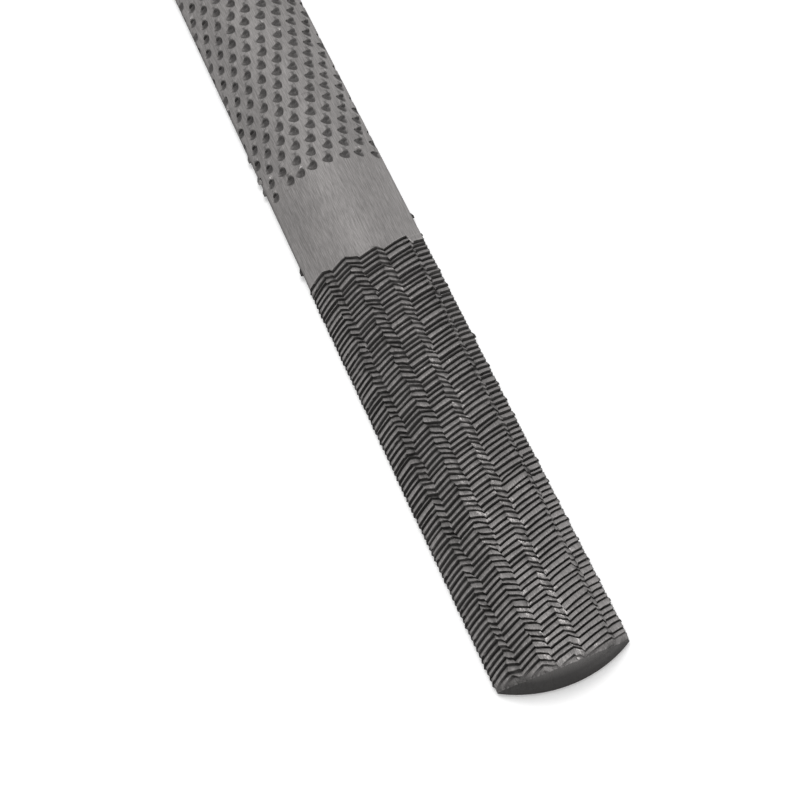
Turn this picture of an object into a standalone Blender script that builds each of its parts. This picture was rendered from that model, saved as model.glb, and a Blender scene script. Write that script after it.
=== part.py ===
"""A four-in-one rasp: one half-round steel bar with four kinds of cut.

The round face has a chisel-cut file stretch at one end and a punched rasp stretch at the other,
with a plain band between them. The flat face has the same two cuts with the ends exchanged.
X runs along the bar to the end whose round face is file cut, Z points from the flat face to the
crown, and the origin is under the middle of the bar, on the plane that its lowest thorns touch.

Each face is first drawn as a sheet laid out flat, creased along its teeth, and then laid on the
bar. The bar is what the two faces and the outline seen from above have in common.
"""

from math import asin, copysign, cos, radians, sin, tan

import bmesh
import bpy
from mathutils import Vector
from mathutils.geometry import delaunay_2d_cdt

MM = 0.001

# The bar
OVERALL_LENGTH = 200 * MM
WIDTH = 21 * MM
THICKNESS = 5.8 * MM  # from the flat face to the crown
EDGE_HEIGHT = 1.0 * MM  # the long edges stand upright this far up from the flat face
END_BULGE = 3.2 * MM  # the middle of a rounded end stands this far past its corners

# The plain bands, from the middle of the bar to the first teeth
ROUND_BAND_TO_FILE = 10.5 * MM  # along the -Y edge
ROUND_BAND_TO_RASP = 11.4 * MM
FLAT_BAND_TO_FILE = 11.2 * MM
FLAT_BAND_TO_RASP = 2.4 * MM

# File teeth: rows of a saw profile whose steep faces look along +X
FILE_LAND = 0.92 * MM
FILE_FACE = 0.21 * MM
FILE_RISE = 0.1 * MM  # a tooth's tip stands this far above the plain band
FILE_DEPTH = 0.34 * MM  # and its root lies this far below it
FILE_SHOULDER = 0.45 * MM  # the slope between the plain band and the teeth beside it

# A row on the round face is struck lane by lane, from -Y to +Y: long strokes one way, short ones back.
# A lane is given as its share of the face's width, and the widest, a bowed stroke, as two.
LANE_SHARES = (0.155, 0.06, 0.14, 0.08, 0.13, 0.06, 0.11, 0.105, 0.03, 0.13)
LANE_SKEWS = [radians(degrees) for degrees in (-8, 37, -13, 35, -15, 32, -26, -28, 60, -27)]

# A row on the flat face is one straight stroke
FLAT_SKEW = radians(20)

# A rasp tooth: a three-cornered pit, and the thorn of metal that its punch threw up behind it
PIT_LENGTH = 1.75 * MM
PIT_WIDTH = 2.0 * MM
PIT_DEPTH = 0.55 * MM
THORN_LENGTH = 0.95 * MM
THORN_HEIGHT = 0.6 * MM
THORN_LEAN = 0.2 * MM  # the thorn's tip stands this far behind the bottom of the pit
THORN_WIDTH = 1.3 * MM  # where the thorn's face meets the bar's surface
TOOTH_TURN = radians(11)  # a tooth's back is turned this far aside

# How the rasp teeth are spread on the round face
ROUND_LAND_ALONG = 0.375 * MM
ROUND_LAND_ACROSS = 1.08 * MM
ROUND_STEP = 1.0 * MM  # each row lies this far sideways of the row before it
ROUND_SKEW = radians(4.5)
ROUND_OFFSET = -1.7 * MM  # a tooth of the first row stands here, measured from the crown

# On the flat face they stand in columns, each half a pitch on from the column beside it
FLAT_LAND_ALONG = 1.37 * MM
FLAT_LAND_ACROSS = 1.6 * MM
FLAT_DRIFT = 0.08 * MM  # each tooth stands this far inward of the tooth before it in its column
FLAT_INSET = 0.2 * MM  # the outer column's first tooth stands this far inside the edge
RASP_END_LAND = 1.5 * MM  # from the last rasp teeth to the corners of the end

# Thorns that broke out over the bar's edges, where a pit is cut through by one
EDGE_THORN_REACH = 0.45 * MM
EDGE_THORN_LENGTH = 1.1 * MM
EDGE_THORN_ROOT = 0.6 * MM
EDGE_THORN_COVER = 0.1 * MM  # the metal left between it and its pit, and the faces and file cuts beside it

# How far the forms that shape the bar run past it, and into how many flats its curves are cut
OVERRUN = 0.5 * MM
CROWN_FLATS = 24
END_FLATS = 24

STEEL_COLOUR = (0.31, 0.305, 0.30, 1)
STEEL_ROUGHNESS = 0.45
SMOOTH_BELOW = radians(25)

HALF_LENGTH = OVERALL_LENGTH / 2
HALF_WIDTH = WIDTH / 2
CORNER = HALF_LENGTH - END_BULGE
FLAT_LEVEL = THORN_HEIGHT
EDGE_TOP_LEVEL = FLAT_LEVEL + EDGE_HEIGHT
CROWN_LEVEL = FLAT_LEVEL + THICKNESS
TOP_LEVEL = CROWN_LEVEL + THORN_HEIGHT
CROWN_RISE = THICKNESS - EDGE_HEIGHT
ROUND_RADIUS = (CROWN_RISE**2 + HALF_WIDTH**2) / (2 * CROWN_RISE)
ROUND_CENTRE_LEVEL = CROWN_LEVEL - ROUND_RADIUS
ROUND_HALF_SPAN = ROUND_RADIUS * asin(HALF_WIDTH / ROUND_RADIUS)
END_RADIUS = (END_BULGE**2 + HALF_WIDTH**2) / (2 * END_BULGE)
FILE_PITCH = FILE_LAND + FILE_FACE
TOOTH_LENGTH = PIT_LENGTH + THORN_LENGTH
TOOTH_SHIFT = TOOTH_LENGTH * tan(TOOTH_TURN)
EDGE_THORN_HEIGHT = EDGE_HEIGHT - FILE_DEPTH - 2 * EDGE_THORN_COVER
FORM_MARGIN = PIT_WIDTH + TOOTH_SHIFT + OVERRUN


class Sheet:
    """One face of the bar laid out flat: points given along, across and above it, and creases."""

    def __init__(self, half_span, flats, row):
        """Row gives how the face's rows of file teeth run: pairs of how far across and how far along.

        The sheet is wide enough for whole rasp teeth that the bar's edges will cut through, and
        long enough for whole rows of file teeth that its ends will cut through.
        """
        self.points = []
        self.creases = []
        self.reach = half_span + FORM_MARGIN
        self.columns = [self.reach * (2 * i / flats - 1) for i in range(flats + 1)]
        self.row = row(half_span, self.reach)
        self.row_spread = max(abs(along) for _, along in self.row)
        self.row_room = self.row_spread + FILE_FACE + FILE_SHOULDER
        self.end = HALF_LENGTH + self.row_spread + self.row_room + FILE_PITCH + OVERRUN
        for end in (-self.end, self.end):
            self.cross_line(end)

    def crease(self, points):
        first = len(self.points)
        self.points += points
        self.creases += [(i, i + 1) for i in range(first, len(self.points) - 1)]

    def cross_line(self, along):
        self.crease([(along, across, 0) for across in self.columns])

    def row_line(self, along, lift):
        self.crease([(along + run, across, lift) for across, run in self.row])

    def folded(self, place):
        """The sheet as a mesh, creased along its lines and laid on the bar by the function place."""
        ground, _, faces, sources, _, _ = delaunay_2d_cdt(
            [Vector(point[:2]) for point in self.points], self.creases, [], 0, MM * MM, True
        )
        mesh = bmesh.new()
        lifts = [self.points[source[0]][2] if source else 0 for source in sources]
        verts = [mesh.verts.new(place(*spot, lift)) for spot, lift in zip(ground, lifts)]
        for face in faces:
            mesh.faces.new([verts[i] for i in face])
        return mesh


def on_round_face(along, across, lift):
    radius = ROUND_RADIUS + lift
    angle = across / ROUND_RADIUS
    return along, radius * sin(angle), ROUND_CENTRE_LEVEL + radius * cos(angle)


def on_flat_face(along, across, lift):
    return along, -across, FLAT_LEVEL - lift


def stepped(start, end, step):
    """Places from start towards end, one step apart."""
    return [start + number * step for number in range(int((end - start) / step) + 1)]


def lane_row(half_span, reach):
    """How a row of file teeth runs on the round face. The strokes of the outer lanes run on to reach."""
    margin = reach - half_span
    widths = [share * 2 * half_span for share in LANE_SHARES]
    widths[0] += margin
    widths[-1] += margin
    row = [(-reach, -margin * tan(LANE_SKEWS[0]))]
    for width, skew in zip(widths, LANE_SKEWS):
        across, along = row[-1]
        row.append((across + width, along + width * tan(skew)))
    return row


def straight_row(_, reach):
    """How a row of file teeth runs on the flat face: one stroke."""
    return [(-reach, reach * tan(FLAT_SKEW)), (reach, -reach * tan(FLAT_SKEW))]


def cut_file_teeth(sheet, tips):
    """A saw-shaped row of teeth at each of the tips. The steep faces look along +X."""
    sheet.row_line(tips[0] - FILE_SHOULDER, 0)
    for tip in tips:
        sheet.row_line(tip, FILE_RISE)
        sheet.row_line(tip + FILE_FACE, -FILE_DEPTH)
    sheet.row_line(tips[-1] + FILE_FACE + FILE_SHOULDER, 0)


def cut_rasp_teeth(sheet, edge, fronts, spacing, step, skew, offset):
    """Rows of punched teeth, each row a step aside of the last.

    A tooth whose pit the bar's edge cuts through has no thorn on the face, because its metal broke
    out over the edge. Returns along and across of those places.
    """
    broken_out = []
    columns = int(sheet.reach / spacing) + 1
    for number, front in enumerate(fronts):
        shift = (offset + number * step) % spacing
        for column in range(-columns, columns + 1):
            across = shift + column * spacing
            if abs(across) + PIT_WIDTH / 2 + TOOTH_SHIFT > sheet.reach:
                continue
            start = front - across * tan(skew)
            inset = edge - abs(across - PIT_LENGTH * tan(TOOTH_TURN))
            punch_tooth(sheet, start, across, THORN_HEIGHT if inset > PIT_WIDTH / 2 else 0)
            if 0 < inset <= PIT_WIDTH / 2:
                broken_out.append((start - PIT_LENGTH, copysign(HALF_WIDTH, across)))
    return broken_out


def punch_tooth(sheet, front, across, height):
    """One pit and its thorn: nine creased faces on seven points."""

    def point(behind, beside, lift):
        return front - behind, across + beside - behind * tan(TOOTH_TURN), lift

    face = PIT_LENGTH - THORN_LEAN / 2
    first = len(sheet.points)
    sheet.points += [
        point(0, -PIT_WIDTH / 2, 0),
        point(0, PIT_WIDTH / 2, 0),
        point(face, THORN_WIDTH / 2, 0),
        point(TOOTH_LENGTH, 0, 0),
        point(face, -THORN_WIDTH / 2, 0),
        point(PIT_LENGTH - THORN_LEAN, 0, -PIT_DEPTH),
        point(PIT_LENGTH, 0, height),
    ]
    front_left, front_right, face_right, back, face_left, bottom, tip = range(first, first + 7)
    rim = [front_left, front_right, face_right, back, face_left]
    sheet.creases += zip(rim, rim[1:] + rim[:1])
    sheet.creases += [(bottom, corner) for corner in (front_left, front_right, face_right, face_left)]
    sheet.creases += [(tip, corner) for corner in (face_right, back, face_left, bottom)]


def closed_beyond(far_level, mesh, side):
    """The sheet's border run down (side -1) or up (side 1) past the bar's far level and closed."""
    level = side * (max(side * far_level, *(side * vert.co.z for vert in mesh.verts)) + OVERRUN)
    border = [edge for edge in mesh.edges if edge.is_boundary]
    grown = bmesh.ops.extrude_edge_only(mesh, edges=border)["geom"]
    for vert in grown:
        if isinstance(vert, bmesh.types.BMVert):
            vert.co.z = level
    rim = [edge for edge in grown if isinstance(edge, bmesh.types.BMEdge)]
    bmesh.ops.edgeloop_fill(mesh, edges=rim)
    bmesh.ops.recalc_face_normals(mesh, faces=mesh.faces)
    return mesh


def round_face():
    """The solid under the round face, and where its rasp teeth break out over an edge."""
    sheet = Sheet(ROUND_HALF_SPAN, CROWN_FLATS, lane_row)
    sheet.cross_line(ROUND_BAND_TO_FILE - sheet.row_spread - FILE_SHOULDER - OVERRUN)
    cut_file_teeth(sheet, stepped(ROUND_BAND_TO_FILE, sheet.end - sheet.row_room, FILE_PITCH))
    sheet.cross_line(-ROUND_BAND_TO_RASP + sheet.reach * tan(ROUND_SKEW) + OVERRUN)
    last_front = -CORNER + RASP_END_LAND + TOOTH_LENGTH
    fronts = stepped(-ROUND_BAND_TO_RASP, last_front, -TOOTH_LENGTH - ROUND_LAND_ALONG)
    spacing = PIT_WIDTH + ROUND_LAND_ACROSS
    broken_out = cut_rasp_teeth(
        sheet, ROUND_HALF_SPAN, fronts, spacing, ROUND_STEP, ROUND_SKEW, ROUND_OFFSET
    )
    level = EDGE_TOP_LEVEL - EDGE_THORN_COVER - EDGE_THORN_HEIGHT / 2
    thorns = [(along, edge, level) for along, edge in broken_out]
    return closed_beyond(0, sheet.folded(on_round_face), -1), thorns


def flat_face():
    """The solid over the flat face, and where its rasp teeth break out over an edge."""
    sheet = Sheet(HALF_WIDTH, 1, straight_row)
    last_tip = -FLAT_BAND_TO_FILE - sheet.row_room
    cut_file_teeth(sheet, stepped(last_tip, sheet.row_room - sheet.end, -FILE_PITCH)[::-1])
    fronts = stepped(
        CORNER - RASP_END_LAND, FLAT_BAND_TO_RASP + TOOTH_LENGTH, -(TOOTH_LENGTH + FLAT_LAND_ALONG) / 2
    )
    column = PIT_WIDTH + FLAT_LAND_ACROSS
    offset = FLAT_INSET - HALF_WIDTH
    broken_out = cut_rasp_teeth(
        sheet, HALF_WIDTH, fronts, 2 * column, column + FLAT_DRIFT / 2, 0, offset
    )
    level = FLAT_LEVEL + EDGE_THORN_COVER + EDGE_THORN_HEIGHT / 2
    thorns = [(along, -edge, level) for along, edge in broken_out]
    return closed_beyond(TOP_LEVEL, sheet.folded(on_flat_face), 1), thorns


def plan_outline():
    """The bar's outline seen from above, run up and down past it."""
    mesh = bmesh.new()
    half_angle = asin(HALF_WIDTH / END_RADIUS)
    outline = []
    for side in (1, -1):
        for step in range(END_FLATS + 1):
            angle = half_angle * (2 * step / END_FLATS - 1)
            along = HALF_LENGTH - END_RADIUS + END_RADIUS * cos(angle)
            outline.append((side * along, side * END_RADIUS * sin(angle), -OVERRUN))
    bottom = mesh.faces.new([mesh.verts.new(point) for point in outline])
    grown = bmesh.ops.extrude_face_region(mesh, geom=[bottom])["geom"]
    top = [vert for vert in grown if isinstance(vert, bmesh.types.BMVert)]
    bmesh.ops.translate(mesh, verts=top, vec=(0, 0, TOP_LEVEL + 2 * OVERRUN))
    bmesh.ops.recalc_face_normals(mesh, faces=mesh.faces)
    return mesh


def edge_thorns(places):
    """Four-sided thorns rooted in the upright edges, with their steep sides towards +X."""
    mesh = bmesh.new()
    for along, edge, level in places:
        outward = edge / HALF_WIDTH
        root = edge - outward * EDGE_THORN_ROOT
        front = along - EDGE_THORN_COVER
        corners = [
            mesh.verts.new((front - back, root, level + rise))
            for back in (0, EDGE_THORN_LENGTH)
            for rise in (-EDGE_THORN_HEIGHT / 2, EDGE_THORN_HEIGHT / 2)
        ]
        tip = mesh.verts.new((front, edge + outward * EDGE_THORN_REACH, level))
        bmesh.ops.convex_hull(mesh, input=[*corners, tip])
    bmesh.ops.recalc_face_normals(mesh, faces=mesh.faces)
    return mesh


def to_object(name, mesh):
    data = bpy.data.meshes.new(name)
    mesh.to_mesh(data)
    mesh.free()
    data.shade_smooth()
    data.set_sharp_from_angle(angle=SMOOTH_BELOW)
    piece = bpy.data.objects.new(name, data)
    bpy.context.scene.collection.objects.link(piece)
    return piece


def combine(piece, form, operation):
    """Join the form to the piece, or keep only what both fill. The form itself stays hidden.

    The exact solver can leave a stray chip where a pit is cut through by the edge of the flat face.
    """
    form.hide_render = True
    form.display_type = "WIRE"
    boolean = piece.modifiers.new(form.name, "BOOLEAN")
    boolean.operation = operation
    boolean.solver = "MANIFOLD"
    boolean.object = form


def steel():
    material = bpy.data.materials.new("hardened_steel")
    material.use_nodes = True
    shader = material.node_tree.nodes["Principled BSDF"]
    shader.inputs["Base Color"].default_value = STEEL_COLOUR
    shader.inputs["Metallic"].default_value = 1
    shader.inputs["Roughness"].default_value = STEEL_ROUGHNESS
    return material


def build():
    for leftover in list(bpy.data.objects):
        bpy.data.objects.remove(leftover)
    crown, crown_thorns = round_face()
    under, under_thorns = flat_face()
    bar = to_object("rasp_bar", crown)
    bar.data.materials.append(steel())
    combine(bar, to_object("flat_face_form", under), "INTERSECT")
    combine(bar, to_object("outline_form", plan_outline()), "INTERSECT")
    thorns = to_object("edge_thorn_form", edge_thorns(crown_thorns + under_thorns))
    combine(bar, thorns, "UNION")


build()
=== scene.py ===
"""The looks of the four-in-one rasp: its finely cut steel bar, on a pale floor under soft light."""

from math import asin, cos, radians, sin, tan

import bmesh
import bpy
import numpy as np
from mathutils import Matrix, Vector


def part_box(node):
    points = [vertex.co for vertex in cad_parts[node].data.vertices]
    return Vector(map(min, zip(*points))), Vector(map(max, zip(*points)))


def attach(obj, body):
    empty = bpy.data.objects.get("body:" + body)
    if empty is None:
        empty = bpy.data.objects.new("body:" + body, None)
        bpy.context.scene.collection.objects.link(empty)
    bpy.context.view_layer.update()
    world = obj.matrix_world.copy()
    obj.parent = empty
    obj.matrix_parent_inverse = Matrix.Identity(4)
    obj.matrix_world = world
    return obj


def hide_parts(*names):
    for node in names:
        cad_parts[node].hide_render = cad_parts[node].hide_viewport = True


MM = 0.001
WHITE = (1, 1, 1, 1)

# The camera stands above the file-cut end of the round face. It sees -Y on its left and +Y on its right
CAMERA_PLACE = (298.0 * MM, -45.8 * MM, 322.0 * MM)
CAMERA_TURN = (radians(38.408), radians(8.818), radians(70.071))
CAMERA_LENS = 116.17
CAMERA_CLIP = 10 * MM

FLOOR_HALF_SIDE = 0.8
FLOOR_COLOUR = (0.92, 0.92, 0.92, 1)
FLOOR_GLOW = 0.22

# The sky's strength rises from low to high towards this direction
SKY_LEAN = (0.0, 0.5, 0.87)
SKY_LOW = 0.6
SKY_HIGH = 0.82

KEY_PLACE = (-0.14, 0.03, 1.2)
KEY_SIZE = 0.6
KEY_POWER = 5.6

# The bar under its teeth, as the frame has it
EDGE_HEIGHT = 1.0 * MM
END_BULGE = 3.2 * MM
THORN_HEIGHT = 0.6 * MM
EDGE_REACH = 0.45 * MM
CROWN_LEVEL = 6.4 * MM
FORM_OVERRUN = 0.5 * MM
END_FLATS = 48

# The teeth are laid out in millimetres along the bar, across a face and above it, and so are these sizes

# The rounding worn onto both ends of the round face, the painted shade that darkens its edge at the ends,
# and its lines, from the wall's inside to beyond it
END_ROUNDING = 1.3
END_DROP = 0.5
END_SHADE = 0.8
END_INSETS = (1.4, 1.1, 0.8, 0.55, 0.35, 0.2, 0.08, -0.1, -1.0)

# File teeth
FILE_PITCH = 1.13
FILE_RISE = 0.1
FILE_DEPTH = 0.36
FIRST_TIP = 11.2
PAST_LAST_TIP = 105
FILE_TIPS = np.arange(FIRST_TIP, PAST_LAST_TIP, FILE_PITCH)
# From one tooth's tip to the next: how far along as a share of the pitch, how high or deep as a share of
# the rise or depth, its painted shade, its share of the painted glints, and its painted highlight without
# them
FILE_PROFILE = (
    (0, 1, 0.0, 0, 0.15),
    (0.05, 0.1, 0.6, 1, 0),
    (0.11, -0.7, 1, 0, 0),
    (0.21, -1, 1, 0, 0),
    (0.33, -0.85, 1, 0, 0),
    (0.48, -0.35, 0.75, 0, 0),
    (0.66, -0.03, 0.3, 1, 0),
)
# Strokes of a row on the round face: across and along where each starts, the same where it stops, its
# columns, and how dull it is
FILE_STROKES = (
    (-13.0, -0.70, -8.25, -1.34, 7, 0.0),
    (-8.12, -1.24, -6.88, -0.34, 3, 0.35),
    (-6.72, -0.08, -3.48, -1.06, 5, 0.0),
    (-3.34, -0.92, -1.62, 0.12, 4, 0.3),
    (-1.46, 0.46, 1.58, -0.58, 5, 0.0),
    (1.74, -0.46, 2.92, 0.22, 3, 0.3),
    (3.08, 0.5, 8.12, -2.28, 8, 0.0),
    (8.26, -2.1, 8.74, -1.9, 3, 0.6),
    (8.86, -2.2, 13.0, -4.4, 6, 0.0),
)
# The strokes from this one on start a row later
LATE_STROKES = 7
# Lines of the plain band ahead of the first row's tips, and how much of its zigzag the far one has
BAND_END = 7.0
FAR_LEAD = 0.9
FAR_LEAD_ZIGZAG = 0.9
NEAR_LEAD = 0.4

# How uneven the strokes are
SLIP_SPREAD = 0.07
SWING_SPREAD = 0.014
FORCE_SPREAD = 0.12
WOBBLE_SPREAD = 0.014
DULL_WOBBLE = 10
KINK_WOBBLE = 3
DRIFT_SPREAD = 0.15
TIP_LOSS = 0.3
DULL_LOSS = 0.3
# How dark the tops of dull strokes are, and those beside some of the kinks. Tops lie above this level
DULL_SHADE = 0.9
KINK_SHADE = 0.5
DARK_KINKS = 0.55
TOP_LEVEL = -0.5
# Towards the near end the grooves narrow, and the slopes behind them get less painted shade, except on the
# left
NARROW_ALONG = (35.0, 90.0)
NARROW_ACROSS = (-7, -2)
NARROW_SHARE = 0.6
NARROW_SPREAD = 0.1
DULL_NARROWING = 0.1
SLOPE_FROM = 0.4
SLOPE_SHADE = 0.4
# Painted glints: how likely on a plain stroke and on a kink or dull stroke, and where most of them lie
GLINT_CHANCE = 0.08
KINK_GLINT_CHANCE = 0.5
GLINT_MIDDLE = 1.5
GLINT_REACH = 3
GLINT_ALONG = (35, 75)
GLINT_SHARES = (0.2, 1)

# The flat face's file teeth run on past both edges and past the end. Plain lines lead to them
FLAT_SKEW = radians(20)
FLAT_COLUMNS = 14
FLAT_REACH = 13.5
FLAT_FIRST_TIP = -16.78
FLAT_PAST_END = -108.0
FLAT_LEADS = (1.2, 1.7)
FLAT_FILE_BAND = -9.3

# Rasp teeth: how far behind the front of its pit each line of a tooth lies, how far the tooth reaches to
# its left and to its right there, the depth of the pit, the height of the thorn and its painted shade
TOOTH_LINES = (
    (-0.06, 0.0, 0.52, 0.0, 0.0, 0.05),
    (0.07, -0.32, 0.7, -0.15, 0.0, 0.5),
    (0.4, -0.72, 0.86, -0.3, 0.0, 0.6),
    (0.78, -1.0, 0.95, -0.4, 0.0, 0.66),
    (1.06, -1.1, 0.98, -0.45, 0.0, 0.7),
    (1.3, -0.94, 0.98, -0.44, 0.0, 0.72),
    (1.5, -0.64, 0.97, -0.3, 0.08, 0.76),
    (1.64, -0.36, 0.94, 0.0, 0.3, 0.72),
    (1.76, -0.12, 0.9, 0.0, 0.5, 0.5),
    (1.92, -0.04, 0.92, 0.0, 0.44, 0.0),
    (2.3, -0.05, 0.98, 0.0, 0.26, 0.0),
    (2.64, -0.2, 1.1, 0.0, 0.1, 0.0),
)
TOOTH_END = 0.15
SIDE_STEPS = 4
LAND_STEPS = 4
TOOTH_STEPS = 2 * SIDE_STEPS + LAND_STEPS
# The higher the power, the flatter the bottom of a pit and the more even its painted shade from side to
# side
PIT_POWER = 4
SHADE_POWER = 8
# A thorn stands this far right of its tooth's middle, and is left off where it is closer to an edge
THORN_ACROSS = 0.48
THORN_EDGE = 1.0
# A tooth narrows where its neighbours leave it less room
TOOTH_ROOM = 2.35
# How uneven the teeth are
WIDTH_SPREAD = 0.1
DEPTH_SPREAD = 0.25
HEIGHT_SPREAD = 0.3
TURN_SPREAD = 0.06
# A pit's painted shade deepens to its right, painted shade runs as a tail along the thorn's left side,
# and some thorns have a painted glint at the tip
PIT_SHADE = 0.9
PIT_SHADE_LEAN = 0.15
TAIL_SHADE = 0.55
TAIL_START = 1.8
TAIL_MIDDLE = -0.35
TAIL_REACH = 0.3
BRIGHT_THORNS = 0.08
THORN_GLINT = 2

# Rasp rows of the round face: each lies a pitch behind the one before it and a step aside
ROUND_ROWS = 27
ROUND_PITCH = 3.075
ROUND_SPACING = 3.079
ROUND_STEP = 1.0
ROUND_FRONT = -11.05
ROUND_OFFSET = -1.9
ROUND_SKEW = radians(4.5)
ROUND_SPREAD = 0.07
# The first row is uneven in its own way
FIRST_ROW = (-10.35, -6.35, -4.15, -1.75, 1.25, 4.35, 7.25, 10.65)
# Teeth, the columns that bend round them, and plain lines reach this far to both sides of the crown
ROUND_REACH = 13.2
ROUND_GRID_REACH = 14.2
ROUND_PLAIN_REACH = 14
ROUND_RASP_BAND = -9.3
ROUND_RASP_LEAD = -10.6

# Rasp rows of the flat face: each lies a pitch behind the one before it and drifts inward
FLAT_ROWS = 22
FLAT_FRONT = 95.3
FLAT_PITCH = 4.07
FLAT_COLUMN = 3.6
FLAT_DRIFT = 0.08
FLAT_OFFSET = -9.95
FLAT_SPREAD = 0.06
FLAT_COLUMN_RANGE = (-1, 8)
FLAT_FIRST_COLUMN = SIDE_STEPS + 1
FLAT_LAST_COLUMNS = SIDE_STEPS + 2
FLAT_PLAIN_REACH = (-16, 17)
FLAT_RASP_LEADS = (101, 97.5)
FLAT_RASP_BAND = -4.5

# Where a punched tooth has broken out over an edge
BURR_REACH = 0.44 * MM
BURR_SPREAD = 0.15
BURR_SUNK = 0.3 * MM
BURR_HALF_HEIGHT = 0.5 * MM
BURR_TAPER = 0.33
BURR_SIDES = 8
FLAT_BURR_LEVEL = 0.95 * MM
ROUND_BURR_LEVEL = 1.25 * MM
FLAT_BURRS = (
    93.2, 89.0, 85.0, 80.9, 76.7, 72.6, 68.8, 64.5, 60.1, 50.0, 46.6, 43.0, 38.8, 19.6, 16.0, 7.2,
)
WIDE_BURRS = (32.0, 2.5)
LEFT_BURRS = (6.1, -14.3, -17.4, -23.2)
# Their edge, half length and lean in millimetres, share of the reach, level, and places in millimetres
BURR_KINDS = (
    (1, 0.7, 0.55, 0.65, FLAT_BURR_LEVEL, FLAT_BURRS),
    (1, 1.1, 0.7, 1, FLAT_BURR_LEVEL, WIDE_BURRS),
    (-1, 1.5, 1.0, 1, ROUND_BURR_LEVEL, LEFT_BURRS),
)

# How far a file stroke bulges the edge that it runs out over
LEFT_BULGE = 0.32 * MM
RIGHT_BULGE = 0.14 * MM
BULGE_SPREAD = 0.5
BULGE_HALF_LENGTH = 0.36 * MM
BULGE_PAST_TIP = 0.25
# The plain stretch of a long edge is split this often, so that no face of its wall has too many corners
WALL_STEP = 2.0 * MM

# What counts as a wall, and how much of the walls' painted shade the sides, the ends and the burrs have
EDGE_ZONE = 0.03 * MM
SIDE_ZONE = 0.12 * MM
STEEP = 0.3
SIDE_WALL_SHARE = 0.8
END_WALL_SHARE = 0.9
BURR_SHARE = 0.3
SHARP_FROM = radians(35)

STEEL_COLOUR = (0.315, 0.303, 0.298)
# Its grains: length along the bar, width, detail and roughness
FINE_GRAIN = (2.5 * MM, 0.13 * MM, 4, 0.7)
BROAD_GRAIN = (12 * MM, 0.45 * MM, 2, 0.5)
STAIN_GRAIN = (9 * MM, 5 * MM, 3, 0.5)
GLINT_GRAIN = (0.3 * MM, 0.2 * MM, 1, 0.5)
GRAIN_RANGE = (0.3, 0.7)
GLINT_RANGE = (0.44, 0.5)
# What the grains, the painted shade of cuts and walls, and the painted glints make of the steel's colour
FINE_SHADES = (0.64, 1.36)
BROAD_SHADES = (0.94, 1.05)
STAIN_SHADES = (0.94, 1.05)
DEEPEST_PAINTED_SHADE = 0.16
WALL_SHADE = 0.2
GLINT_BRIGHTNESS = 3.0
# Painted shade darkens the faces close to the long edges
EDGE_SHADE = 0.74
EDGE_SHADE_FROM = 10.15 * MM
EDGE_SHADE_TO = 10.5 * MM
# Painted shade and light on the end wall: darker at its foot than at the crown, and lighter on its right
FOOT_LEVELS = (3.4 * MM, 5.7 * MM)
FOOT_SHADES = (-0.42, 0.45)
RIGHT_LEVELS = (1.6 * MM, 2.6 * MM)
RIGHT_REACH = 8 * MM
RIGHT_SHADE = 0.4
BROAD_ROUGHNESS = (0.92, 1.08)
CUT_ROUGHNESS = (0.64, 0.65)
GRAIN_BUMP = 0.004 * MM

# Where the chances of each form start
ROUND_SEED = 5
FLAT_SEED = 8
OUTLINE_SEED = 3
BURR_SEED = 11

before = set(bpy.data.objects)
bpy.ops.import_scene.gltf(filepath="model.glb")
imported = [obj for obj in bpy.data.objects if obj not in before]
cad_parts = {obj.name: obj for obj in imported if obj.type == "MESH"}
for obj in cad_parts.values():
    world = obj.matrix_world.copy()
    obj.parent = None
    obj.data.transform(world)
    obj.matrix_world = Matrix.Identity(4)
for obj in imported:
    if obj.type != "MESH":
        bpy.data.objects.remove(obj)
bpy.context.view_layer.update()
low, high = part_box("rasp_bar")
HALF_LENGTH = high.x
HALF_WIDTH = high.y - EDGE_REACH
FLAT_LEVEL = THORN_HEIGHT
CROWN_RISE = CROWN_LEVEL - FLAT_LEVEL - EDGE_HEIGHT
ROUND_RADIUS = (CROWN_RISE**2 + HALF_WIDTH**2) / (2 * CROWN_RISE)
ROUND_CENTRE = CROWN_LEVEL - ROUND_RADIUS
ROUND_SPAN = ROUND_RADIUS * asin(HALF_WIDTH / ROUND_RADIUS)
END_RADIUS = (END_BULGE**2 + HALF_WIDTH**2) / (2 * END_BULGE)


def on_round_face(spots):
    """The places of spots on the round face."""
    along, across, lift = np.moveaxis(spots, -1, 0)
    angle = across / ROUND_RADIUS
    radius = ROUND_RADIUS + lift
    return np.stack([along, radius * np.sin(angle), ROUND_CENTRE + radius * np.cos(angle)], -1)


def on_flat_face(spots):
    """The places of spots on the flat face."""
    along, across, lift = np.moveaxis(spots, -1, 0)
    return np.stack([along, -across, FLAT_LEVEL - lift], -1)


def plain_line(along, columns):
    """A line with no tooth. Its spots are along, across and above the face, its painted shade and its
    painted glint.
    """
    along = np.broadcast_to(along, columns.shape)
    none = np.zeros(columns.shape)
    return np.stack([along, columns, none, none, none], -1)


def stroke_columns():
    """The columns of the round face's file rows: across, along, the stroke of each, and how dull it is."""
    spots = []
    for stroke, (start, start_along, stop, stop_along, count, dull) in enumerate(FILE_STROKES):
        across = np.linspace(start, stop, count)
        along = np.linspace(start_along, stop_along, count)
        spots += [(*spot, stroke, dull) for spot in zip(across, along)]
    columns, runs, strokes, dull = np.array(spots).T
    return columns, runs, strokes.astype(int), dull


def glint_chance(tip, columns, kinked):
    """How likely each column of a row is to get a painted glint."""
    most = np.where(kinked, KINK_GLINT_CHANCE, GLINT_CHANCE)
    across = np.exp(-((columns - GLINT_MIDDLE) / GLINT_REACH) ** 2)
    return most * across * np.interp(tip, GLINT_ALONG, GLINT_SHARES)


def groove_share(tip, columns):
    """How wide the grooves of a row are, as a share of their full width."""
    narrowest = np.interp(tip, NARROW_ALONG, (1, NARROW_SHARE))
    return 1 - (1 - narrowest) * np.interp(columns, NARROW_ACROSS, (0, 1))


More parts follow.
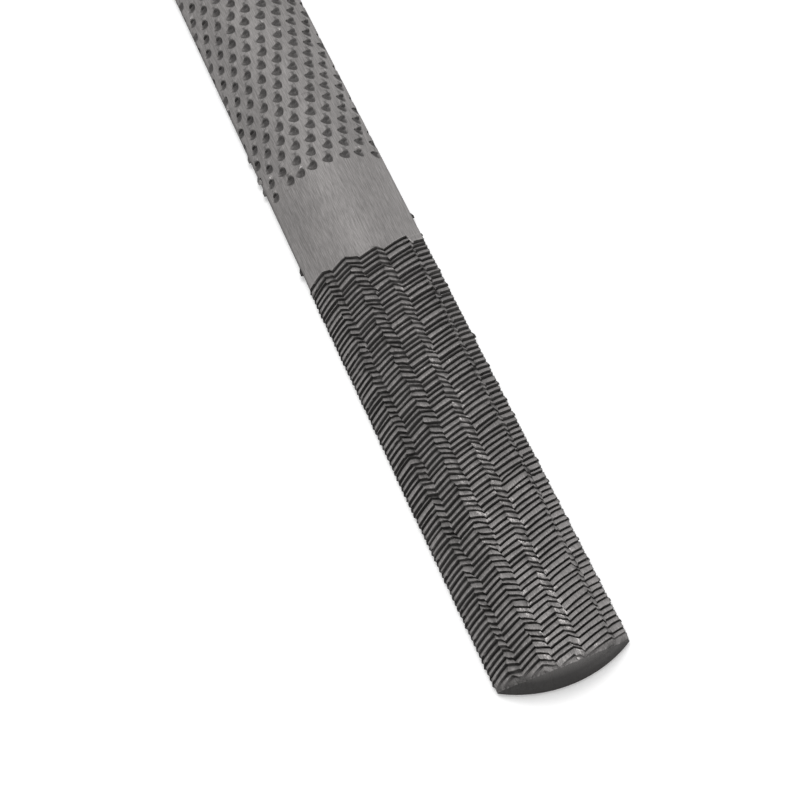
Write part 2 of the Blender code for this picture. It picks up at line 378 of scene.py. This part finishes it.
def file_spots(tips, columns, runs, strokes, dull, chance):
    """Rows of struck teeth, line by line. Each stroke of a row has its own place, slant and force."""
    count = strokes.max() + 1
    starts = np.array([columns[strokes == stroke][0] for stroke in range(count)])
    middles = np.array([columns[strokes == stroke].mean() for stroke in range(count)])
    kinks = np.isin(columns, starts)
    unsteady = 1 + DULL_WOBBLE * dull + KINK_WOBBLE * kinks

    def uneven(spread):
        return chance.normal(0, spread, count)[strokes]

    lines = []
    for tip in tips:
        slip = uneven(SLIP_SPREAD) * (1 + dull)
        swing = (columns - middles[strokes]) * uneven(SWING_SPREAD)
        force = 1 + uneven(FORCE_SPREAD)
        dark_kinks = KINK_SHADE * (np.roll(kinks, -1) & (chance.random(len(columns)) < DARK_KINKS))
        wobble = chance.normal(0, WOBBLE_SPREAD, len(columns)) * unsteady
        drift = np.interp(columns, starts, chance.normal(0, DRIFT_SPREAD, count))
        ragged = chance.random(len(columns))
        glint_spots = chance.random(len(columns)) < glint_chance(tip, columns, kinks | (dull > 0))
        groove = groove_share(tip, columns) * (1 + uneven(NARROW_SPREAD))
        groove = groove * (1 - DULL_NARROWING * (dull > 0))
        slope_shade = np.interp(groove, (NARROW_SHARE, 1), (SLOPE_SHADE, 1))
        if tip == FIRST_TIP:
            force[strokes >= LATE_STROKES] = 0
        for share, level, painted_dark, glint_share, glint in FILE_PROFILE:
            lift = level * (FILE_RISE if level > 0 else FILE_DEPTH) * force
            if level == 1:
                lift = np.minimum(lift, FILE_RISE) * (1 - TIP_LOSS * ragged)
            lift = lift * (1 - DULL_LOSS * dull)
            along = tip + share * groove * FILE_PITCH + runs + slip + swing + wobble
            # Painted shade in the groove, and on dull tops and beside some kinks
            cut = painted_dark * (1 - DULL_SHADE * dull * ragged)
            if share > SLOPE_FROM:
                cut = cut * slope_shade
            if level > TOP_LEVEL:
                cut = cut + DULL_SHADE * dull * (1 - ragged) + dark_kinks
            cut = np.minimum(cut * (force > 0), 1)
            # Painted glints, and a painted highlight on every tip
            bright = glint_share * glint_spots + glint
            lines.append(np.stack([along, columns + drift, lift, cut, bright], -1))
    return lines


def punched_spots(rows, spacing, columns, edge, chance):
    """Rows of punched teeth, line by line. Each tooth has its own place, and its lines bend round it."""
    number = np.arange(columns)
    sides = np.arange(-SIDE_STEPS, SIDE_STEPS + 1)
    share = sides / SIDE_STEPS
    hollow = 1 - share**PIT_POWER
    ridge = 1 - share**2
    painted_dark_across = (1 - share**SHADE_POWER) * (PIT_SHADE + PIT_SHADE_LEAN * share)
    tail = TAIL_SHADE * np.exp(-((share - TAIL_MIDDLE) / TAIL_REACH) ** 2)
    lines = []
    for front, middle, phase in rows:
        teeth = len(middle)
        slot = phase + TOOTH_STEPS * np.arange(teeth)
        at = (slot[:, None] + sides).ravel()
        before = number < at[0]
        after = number > at[-1]
        room = np.minimum(np.diff(middle, prepend=-np.inf), np.diff(middle, append=np.inf))
        width = np.minimum(1 - WIDTH_SPREAD * chance.random(teeth), room / TOOTH_ROOM)
        depth = 1 - DEPTH_SPREAD * chance.random(teeth)
        height = 1 - HEIGHT_SPREAD * chance.random(teeth)
        turn = chance.normal(0, TURN_SPREAD, teeth)
        height[edge - abs(middle + THORN_ACROSS) < THORN_EDGE] = 0
        bright = chance.random(teeth) < BRIGHT_THORNS
        for back, left, right, low_lift, high_lift, painted_dark in TOOTH_LINES:
            centre = middle + (left + right) / 2 * width - turn * back
            own_across = centre[:, None] + share * ((right - left) / 2 * width)[:, None]
            own_along = np.repeat(front - back, len(share))
            own_lift = low_lift * depth[:, None] * hollow + high_lift * height[:, None] * ridge
            # Painted shade in the pit and along the thorn's tail
            own_cut = np.tile(painted_dark * painted_dark_across + tail * (back > TAIL_START), teeth)
            # A painted glint on the tips of some thorns
            own_glint = THORN_GLINT * high_lift * bright[:, None] * ridge
            across = np.interp(number, at, own_across.ravel())
            across[before] = own_across[0, 0] - (at[0] - number[before]) * spacing / TOOTH_STEPS
            across[after] = own_across[-1, -1] + (number[after] - at[-1]) * spacing / TOOTH_STEPS
            along = np.interp(number, at, own_along)
            lift = np.interp(number, at, own_lift.ravel(), 0, 0)
            cut = np.interp(number, at, own_cut, 0, 0)
            glint = np.interp(number, at, own_glint.ravel(), 0, 0)
            lines.append(np.stack([along, across, lift, cut, glint], -1))
    return lines + [plain_line(lines[-1][:, 0] - TOOTH_END, lines[-1][:, 1])]


def end_line(inset, across):
    """How far along a line of the round face lies that runs this far inside the wall of an end."""
    side = ROUND_RADIUS / MM * np.sin(across * MM / ROUND_RADIUS)
    radius = END_RADIUS / MM
    return HALF_LENGTH / MM - radius + np.sqrt(np.maximum((radius - inset) ** 2 - side**2, 0))


def worn_ends_with_painted_shade(lines):
    """Lines of the round face, with the cut running out, the surface rounded down and painted shade added
    at the bar's ends.
    """
    lines = np.array(lines)
    side = ROUND_RADIUS / MM * np.sin(lines[..., 1] * MM / ROUND_RADIUS)
    past = np.maximum(abs(lines[..., 0]) - (HALF_LENGTH - END_RADIUS) / MM, 0)
    inset = END_RADIUS / MM - np.hypot(past, side)
    near = np.clip(1 - inset / END_ROUNDING, 0, 1)
    lines[..., 2] = lines[..., 2] * (1 - near) - END_DROP * (1 - np.sqrt(1 - near**2))
    # Painted shade towards the end walls
    lines[..., 3] = lines[..., 3] * (1 - near) + END_SHADE * near**2
    return lines


def new_sheet():
    """A mesh whose points keep their painted shade and their painted glint."""
    mesh = bmesh.new()
    mesh.verts.layers.float.new("cut")
    mesh.verts.layers.float.new("painted_glint")
    return mesh


def laid(mesh, lines, place):
    """A grid of the mesh laid on a face, line by line. Returns the points of its first and last lines."""
    lines = np.array(lines)
    rows, columns = lines.shape[:2]
    made = bmesh.ops.create_grid(mesh, x_segments=columns - 1, y_segments=rows - 1, size=1)["verts"]
    cuts = mesh.verts.layers.float["cut"]
    painted_glints = mesh.verts.layers.float["painted_glint"]
    spots = place(lines[..., :3] * MM).reshape(-1, 3)
    for vert, spot, cut, painted_glint in zip(made, spots, lines[..., 3].ravel(), lines[..., 4].ravel()):
        vert.co = spot
        vert[cuts] = cut
        vert[painted_glints] = painted_glint
    return made[:columns], made[-columns:]


def joined(mesh, first, second):
    """The gap between two grids filled with the plain band."""
    ends = (set(first), set(second))
    rows = [edge for edge in mesh.edges if any(set(edge.verts) <= end for end in ends)]
    bmesh.ops.bridge_loops(mesh, edges=rows)


def closed_to(mesh, level):
    """A sheet's border drawn out to a level and closed there."""
    border = [edge for edge in mesh.edges if edge.is_boundary]
    grown = bmesh.ops.extrude_edge_only(mesh, edges=border)["geom"]
    for vert in grown:
        if isinstance(vert, bmesh.types.BMVert):
            vert.co.z = level
    rim = [edge for edge in grown if isinstance(edge, bmesh.types.BMEdge)]
    bmesh.ops.edgeloop_fill(mesh, edges=rim)
    bmesh.ops.recalc_face_normals(mesh, faces=mesh.faces)
    return mesh


def round_rasp_rows(chance):
    """Each row's fronts and middles, and the column of its first tooth. The rows step aside one by one."""
    rows = []
    for row in range(ROUND_ROWS):
        shift = ROUND_OFFSET + ROUND_STEP * row
        first = int(np.floor((shift + ROUND_REACH) / ROUND_SPACING))
        start = shift - first * ROUND_SPACING
        teeth = int((ROUND_REACH - start) / ROUND_SPACING) + 1
        middle = start + ROUND_SPACING * np.arange(teeth) + chance.normal(0, ROUND_SPREAD, teeth)
        if row == 0:
            middle = np.array(FIRST_ROW)
        front = ROUND_FRONT - ROUND_PITCH * row - middle * tan(ROUND_SKEW)
        front = front + chance.normal(0, ROUND_SPREAD, teeth)
        phase = int(round((start + ROUND_GRID_REACH) / ROUND_SPACING * TOOTH_STEPS))
        rows.append((front, middle, phase))
    return rows


def round_face():
    """The round face with its teeth and its plain band, closed below the flat face."""
    chance = np.random.default_rng(ROUND_SEED)
    mesh = new_sheet()
    columns, runs, strokes, dull = stroke_columns()
    lines = [
        plain_line(BAND_END, columns),
        plain_line(FIRST_TIP - FAR_LEAD + runs * FAR_LEAD_ZIGZAG, columns),
        plain_line(FIRST_TIP - NEAR_LEAD + runs, columns),
    ]
    lines += file_spots(FILE_TIPS, columns, runs, strokes, dull, chance)
    near, _ = laid(mesh, worn_ends_with_painted_shade(lines), on_round_face)

    rows = round_rasp_rows(chance)
    count = int(2 * ROUND_GRID_REACH / ROUND_SPACING * TOOTH_STEPS)
    across = np.linspace(-ROUND_PLAIN_REACH, ROUND_PLAIN_REACH, count)
    lines = [
        plain_line(ROUND_RASP_BAND, across),
        plain_line(ROUND_RASP_LEAD - across * tan(ROUND_SKEW), across),
    ]
    lines += punched_spots(rows, ROUND_SPACING, count, ROUND_SPAN / MM, chance)
    lines += [plain_line(-end_line(inset, across), across) for inset in END_INSETS]
    far, _ = laid(mesh, worn_ends_with_painted_shade(lines), on_round_face)
    joined(mesh, near, far)
    return closed_to(mesh, -FORM_OVERRUN)


def flat_rasp_rows(chance):
    """Each row's fronts and middles, and the column of its first tooth. Every second tooth stands back."""
    columns = np.arange(*FLAT_COLUMN_RANGE)
    rows = []
    for row in range(FLAT_ROWS):
        order = 2 * row + columns % 2
        middle = FLAT_OFFSET + FLAT_COLUMN * columns + FLAT_DRIFT / 2 * order
        middle = middle + chance.normal(0, FLAT_SPREAD, len(columns))
        front = FLAT_FRONT - FLAT_PITCH / 2 * order + chance.normal(0, FLAT_SPREAD, len(columns))
        rows.append((front, middle, FLAT_FIRST_COLUMN))
    return rows


def flat_face():
    """The flat face with its teeth and its plain band, closed above the crown."""
    chance = np.random.default_rng(FLAT_SEED)
    mesh = new_sheet()
    columns = np.linspace(-FLAT_REACH, FLAT_REACH, FLAT_COLUMNS + 1)
    runs = -columns * tan(FLAT_SKEW)
    one_stroke = np.zeros(len(columns), int)
    sharp = np.zeros(len(columns))
    tips = np.arange(FLAT_FIRST_TIP, FLAT_PAST_END, -FILE_PITCH)[::-1]
    lines = [plain_line(FLAT_PAST_END, columns)]
    lines += file_spots(tips, columns, runs, one_stroke, sharp, chance)
    lines += [plain_line(tips[-1] + lead + runs, columns) for lead in FLAT_LEADS]
    lines += [plain_line(FLAT_FILE_BAND, columns)]
    _, near = laid(mesh, lines, on_flat_face)

    rows = flat_rasp_rows(chance)
    teeth = len(range(*FLAT_COLUMN_RANGE))
    count = FLAT_FIRST_COLUMN + TOOTH_STEPS * (teeth - 1) + FLAT_LAST_COLUMNS
    across = np.linspace(*FLAT_PLAIN_REACH, count)
    lines = [plain_line(lead, across) for lead in FLAT_RASP_LEADS]
    lines += punched_spots(rows, FLAT_COLUMN, count, HALF_WIDTH / MM, chance)
    lines += [plain_line(FLAT_RASP_BAND, across)]
    _, far = laid(mesh, lines, on_flat_face)
    joined(mesh, near, far)
    return closed_to(mesh, CROWN_LEVEL + THORN_HEIGHT + FORM_OVERRUN)


def bulges(side, chance):
    """Points of an edge's outline, bulged where each file stroke of the round face runs out over it."""
    start, start_along, stop, stop_along, *_ = FILE_STROKES[-1 if side > 0 else 0]
    run = np.interp(side * ROUND_SPAN / MM, (start, stop), (start_along, stop_along))
    reach = RIGHT_BULGE if side > 0 else LEFT_BULGE
    plain = np.arange(END_BULGE + WALL_STEP - HALF_LENGTH, BAND_END * MM, WALL_STEP)
    points = [(along, 0) for along in plain]
    for middle in (FILE_TIPS + run + BULGE_PAST_TIP * FILE_PITCH) * MM:
        if middle + 2 * BULGE_HALF_LENGTH < HALF_LENGTH - END_BULGE:
            bulge = reach * (1 - BULGE_SPREAD + BULGE_SPREAD * chance.random())
            points += [(middle - BULGE_HALF_LENGTH, 0), (middle, bulge), (middle + BULGE_HALF_LENGTH, 0)]
    return [(along, side * (HALF_WIDTH + bulge), -2 * FORM_OVERRUN) for along, bulge in points]


def plan_outline():
    """The bar's outline seen from above, taller than the bar."""
    chance = np.random.default_rng(OUTLINE_SEED)
    mesh = bmesh.new()
    half_angle = asin(HALF_WIDTH / END_RADIUS)
    outline = []
    for side in (1, -1):
        for step in range(END_FLATS + 1):
            angle = half_angle * (2 * step / END_FLATS - 1)
            along = HALF_LENGTH - END_RADIUS + END_RADIUS * cos(angle)
            outline.append((side * along, side * END_RADIUS * sin(angle), -2 * FORM_OVERRUN))
        outline += bulges(side, chance)[::-side]
    bottom = mesh.faces.new([mesh.verts.new(point) for point in outline])
    grown = bmesh.ops.extrude_face_region(mesh, geom=[bottom])["geom"]
    top = [vert for vert in grown if isinstance(vert, bmesh.types.BMVert)]
    bmesh.ops.translate(mesh, verts=top, vec=(0, 0, CROWN_LEVEL + THORN_HEIGHT + 4 * FORM_OVERRUN))
    bmesh.ops.recalc_face_normals(mesh, faces=mesh.faces)
    return mesh


def edge_burrs():
    """Curled metal where a punched tooth has broken out over an edge."""
    chance = np.random.default_rng(BURR_SEED)
    mesh = bmesh.new()
    for side, length, lean, size, level, places in BURR_KINDS:
        for along in places:
            reach = BURR_REACH * size * (1 - BURR_SPREAD + BURR_SPREAD * chance.random())
            shape = Matrix((
                (length * MM, 0, lean * MM, (along - lean / 2) * MM),
                (0, 0, side * (reach + BURR_SUNK), side * (HALF_WIDTH + (reach - BURR_SUNK) / 2)),
                (0, BURR_HALF_HEIGHT, 0, level),
                (0, 0, 0, 1),
            ))
            bmesh.ops.create_cone(
                mesh, cap_ends=True, cap_tris=False, segments=BURR_SIDES,
                radius1=1, radius2=BURR_TAPER, depth=1, matrix=shape,
            )
    bmesh.ops.recalc_face_normals(mesh, faces=mesh.faces)
    return mesh


def to_object(name, mesh):
    data = bpy.data.meshes.new(name)
    mesh.to_mesh(data)
    mesh.free()
    piece = bpy.data.objects.new(name, data)
    bpy.context.scene.collection.objects.link(piece)
    return piece


def combined(piece, forms):
    """The piece with the forms cut from it or joined to it. The forms are removed."""
    for form, operation in forms:
        step = piece.modifiers.new(form.name, "BOOLEAN")
        step.operation = operation
        step.object = form
        step.solver = "MANIFOLD"
    graph = bpy.context.evaluated_depsgraph_get()
    data = bpy.data.meshes.new_from_object(piece.evaluated_get(graph))
    piece.modifiers.clear()
    piece.data = data
    for form, _ in forms:
        bpy.data.objects.remove(form)


def wall_share(place, normal):
    """How much of the walls' painted shade a face has, which is none on the toothed faces."""
    across = abs(place.y) - HALF_WIDTH
    if across > EDGE_ZONE and abs(place.x) > FIRST_TIP * MM and place.x < 0:
        return BURR_SHARE
    if across > EDGE_ZONE or (across > -SIDE_ZONE and abs(normal.z) < STEEP):
        return SIDE_WALL_SHARE
    along = Vector((abs(place.x) - HALF_LENGTH + END_RADIUS, place.y)).length - END_RADIUS
    return END_WALL_SHARE if along > -EDGE_ZONE and abs(normal.z) < STEEP else 0


def rim_shaded(bar):
    """The corners that the outline cut into the faces take over the painted shade beside them."""
    mesh = bmesh.new()
    mesh.from_mesh(bar.data)
    cut = mesh.verts.layers.float["cut"]
    wall = mesh.faces.layers.float["wall"]
    inner = {vert for vert in mesh.verts if all(face[wall] == 0 for face in vert.link_faces)}
    taken = []
    for vert in mesh.verts:
        if vert not in inner:
            beside = [edge for edge in vert.link_edges if edge.other_vert(vert) in inner]
            if beside:
                shortest = min(beside, key=bmesh.types.BMEdge.calc_length)
                taken.append((vert, shortest.other_vert(vert)[cut]))
    for vert, value in taken:
        vert[cut] = value
    mesh.to_mesh(bar.data)
    mesh.free()


def toothed_bar():
    """The bar: two toothed faces closed into one body, trimmed to its outline, with burrs on the edges."""
    bar = to_object("toothed_bar", round_face())
    combined(bar, [
        (to_object("flat_form", flat_face()), "INTERSECT"),
        (to_object("outline_form", plan_outline()), "INTERSECT"),
        (to_object("burr_form", edge_burrs()), "UNION"),
    ])
    # Each face's share of the walls' painted shade
    walls = bar.data.attributes.new("wall", "FLOAT", "FACE")
    shares = [wall_share(face.center, face.normal) for face in bar.data.polygons]
    walls.data.foreach_set("value", shares)
    rim_shaded(bar)
    bar.data.materials.clear()
    bar.data.materials.append(steel())
    bar.data.shade_smooth()
    bar.data.set_sharp_from_angle(angle=SHARP_FROM)
    # The sides and the burrs keep their flats
    for face in bar.data.polygons:
        face.use_smooth = shares[face.index] not in (SIDE_WALL_SHARE, BURR_SHARE)
    return bar


def filled(tree, node, inputs):
    """A node with its inputs linked or set."""
    for name, value in inputs:
        if isinstance(value, bpy.types.NodeSocket):
            tree.links.new(value, node.inputs[name])
        else:
            node.inputs[name].default_value = value
    return node


def node_maker(tree):
    """A function that adds a node to the tree, with its inputs and its settings."""
    def new(kind, inputs=(), **settings):
        node = tree.nodes.new(kind)
        for name, value in settings.items():
            setattr(node, name, value)
        return filled(tree, node, inputs)
    return new


def steel():
    """Brushed steel, with painted shade where it is cut and on the walls, and with painted glints."""
    made = bpy.data.materials.new("hardened_steel")
    made.use_nodes = True
    new = node_maker(made.node_tree)
    place = new("ShaderNodeTexCoord").outputs["Object"]
    places = new("ShaderNodeSeparateXYZ", (("Vector", place),)).outputs

    def worked(operation, *values):
        return new("ShaderNodeMath", enumerate(values), operation=operation).outputs[0]

    def ranged(value, inside, result):
        return new("ShaderNodeMapRange", (
            ("Value", value),
            ("From Min", inside[0]),
            ("From Max", inside[1]),
            ("To Min", result[0]),
            ("To Max", result[1]),
        )).outputs["Result"]

    def grain(length, width, detail, roughness):
        """Noise drawn out along the bar."""
        scale = (1 / length, 1 / width, 1 / width)
        stretched = new("ShaderNodeMapping", (("Vector", place), ("Scale", scale)))
        return new("ShaderNodeTexNoise", (
            ("Vector", stretched.outputs[0]),
            ("Scale", 1.0),
            ("Detail", detail),
            ("Roughness", roughness),
        )).outputs["Fac"]

    def attribute(name):
        return new("ShaderNodeAttribute", attribute_name=name).outputs["Fac"]

    fine = grain(*FINE_GRAIN)
    broad = grain(*BROAD_GRAIN)
    wall = attribute("wall")
    # Painted shade of the cuts, which the walls leave off
    cut = worked("MULTIPLY", attribute("cut"), ranged(wall, (0, 1), (1, 0)))
    # Painted glints where the glint noise lets them through
    glint_spots = worked("MULTIPLY", attribute("painted_glint"), ranged(grain(*GLINT_GRAIN), GLINT_RANGE, (0, 1)))
    # Painted shade near the long edges, by the distance from the middle
    off_middle = worked("ABSOLUTE", places["Y"])
    # Painted light on the walls' right-hand half, and painted shade at their foot and light near the crown
    right = worked(
        "MULTIPLY",
        ranged(places["Z"], RIGHT_LEVELS, (0, 1)),
        ranged(places["Y"], (0, RIGHT_REACH), (0, RIGHT_SHADE)),
    )
    on_walls = worked("ADD", ranged(places["Z"], FOOT_LEVELS, FOOT_SHADES), right)
    # Grains and stains, then painted shade of cuts and walls, painted glints, painted shade near the long
    # edges, and painted shade and light on the walls
    shade = ranged(fine, GRAIN_RANGE, FINE_SHADES)
    for more in (
        ranged(broad, GRAIN_RANGE, BROAD_SHADES),
        ranged(grain(*STAIN_GRAIN), GRAIN_RANGE, STAIN_SHADES),
        ranged(cut, (0, 1), (1, DEEPEST_PAINTED_SHADE)),
        ranged(wall, (0, 1), (1, WALL_SHADE)),
        ranged(glint_spots, (0, 1), (1, GLINT_BRIGHTNESS)),
        ranged(off_middle, (EDGE_SHADE_FROM, EDGE_SHADE_TO), (1, EDGE_SHADE)),
        worked("MULTIPLY_ADD", wall, on_walls, 1.0),
    ):
        shade = worked("MULTIPLY", shade, more)
    tinted = new("ShaderNodeVectorMath", ((0, STEEL_COLOUR), ("Scale", shade)), operation="SCALE")
    rough = worked(
        "MULTIPLY", ranged(broad, GRAIN_RANGE, BROAD_ROUGHNESS), ranged(cut, (0, 1), CUT_ROUGHNESS)
    )
    bump = new("ShaderNodeBump", (("Height", fine), ("Distance", GRAIN_BUMP), ("Strength", 1.0)))
    filled(made.node_tree, made.node_tree.nodes["Principled BSDF"], (
        ("Base Color", tinted.outputs[0]),
        ("Metallic", 1),
        ("Roughness", rough),
        ("Normal", bump.outputs[0]),
    ))
    return made


def floor():
    """A pale floor that is white where the camera sees it, itself or in the steel."""
    mesh = bmesh.new()
    bmesh.ops.create_grid(mesh, x_segments=1, y_segments=1, size=FLOOR_HALF_SIDE)
    piece = to_object("floor", mesh)
    made = bpy.data.materials.new("floor_white")
    made.use_nodes = True
    new = node_maker(made.node_tree)
    rays = new("ShaderNodeLightPath").outputs
    either_ray = ((0, rays["Is Camera Ray"]), (1, rays["Is Glossy Ray"]))
    seen = new("ShaderNodeMath", either_ray, operation="MAXIMUM")
    glow = new("ShaderNodeMath", ((0, seen.outputs[0]), (1, FLOOR_GLOW)), operation="MULTIPLY")
    filled(made.node_tree, made.node_tree.nodes["Principled BSDF"], (
        ("Base Color", FLOOR_COLOUR),
        ("Roughness", 1),
        ("Specular IOR Level", 0),
        ("Emission Color", WHITE),
        ("Emission Strength", glow.outputs[0]),
    ))
    piece.data.materials.append(made)


def sky():
    """Soft light from all round, stronger from one side, and white where the camera sees it."""
    world = bpy.data.worlds.new("soft_white")
    bpy.context.scene.world = world
    world.use_nodes = True
    new = node_maker(world.node_tree)
    way = new("ShaderNodeTexCoord").outputs["Generated"]
    height = new("ShaderNodeVectorMath", ((0, way), (1, SKY_LEAN)), operation="DOT_PRODUCT")
    strength = new("ShaderNodeMapRange", (
        ("Value", height.outputs["Value"]),
        ("To Min", SKY_LOW),
        ("To Max", SKY_HIGH),
    ))
    rays = new("ShaderNodeLightPath").outputs
    either = ((0, rays["Is Camera Ray"]), (1, strength.outputs["Result"]))
    seen = new("ShaderNodeMath", either, operation="MAXIMUM")
    filled(world.node_tree, world.node_tree.nodes["Background"], (
        ("Color", WHITE),
        ("Strength", seen.outputs[0]),
    ))


def key_light():
    lamp = bpy.data.lights.new("key", "AREA")
    lamp.energy = KEY_POWER
    lamp.size = KEY_SIZE
    key = bpy.data.objects.new("key", lamp)
    key.location = KEY_PLACE
    key.rotation_euler = (-Vector(KEY_PLACE)).to_track_quat("-Z", "Y").to_euler()
    bpy.context.scene.collection.objects.link(key)


def camera():
    lens = bpy.data.cameras.new("camera")
    lens.lens = CAMERA_LENS
    lens.clip_start = CAMERA_CLIP
    seat = bpy.data.objects.new("camera", lens)
    seat.location = CAMERA_PLACE
    seat.rotation_euler = CAMERA_TURN
    bpy.context.scene.collection.objects.link(seat)
    bpy.context.scene.camera = seat


bpy.context.scene.view_settings.view_transform = "Standard"
camera()
sky()
key_light()
floor()
bar = toothed_bar()
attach(bar, "root")
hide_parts("rasp_bar")
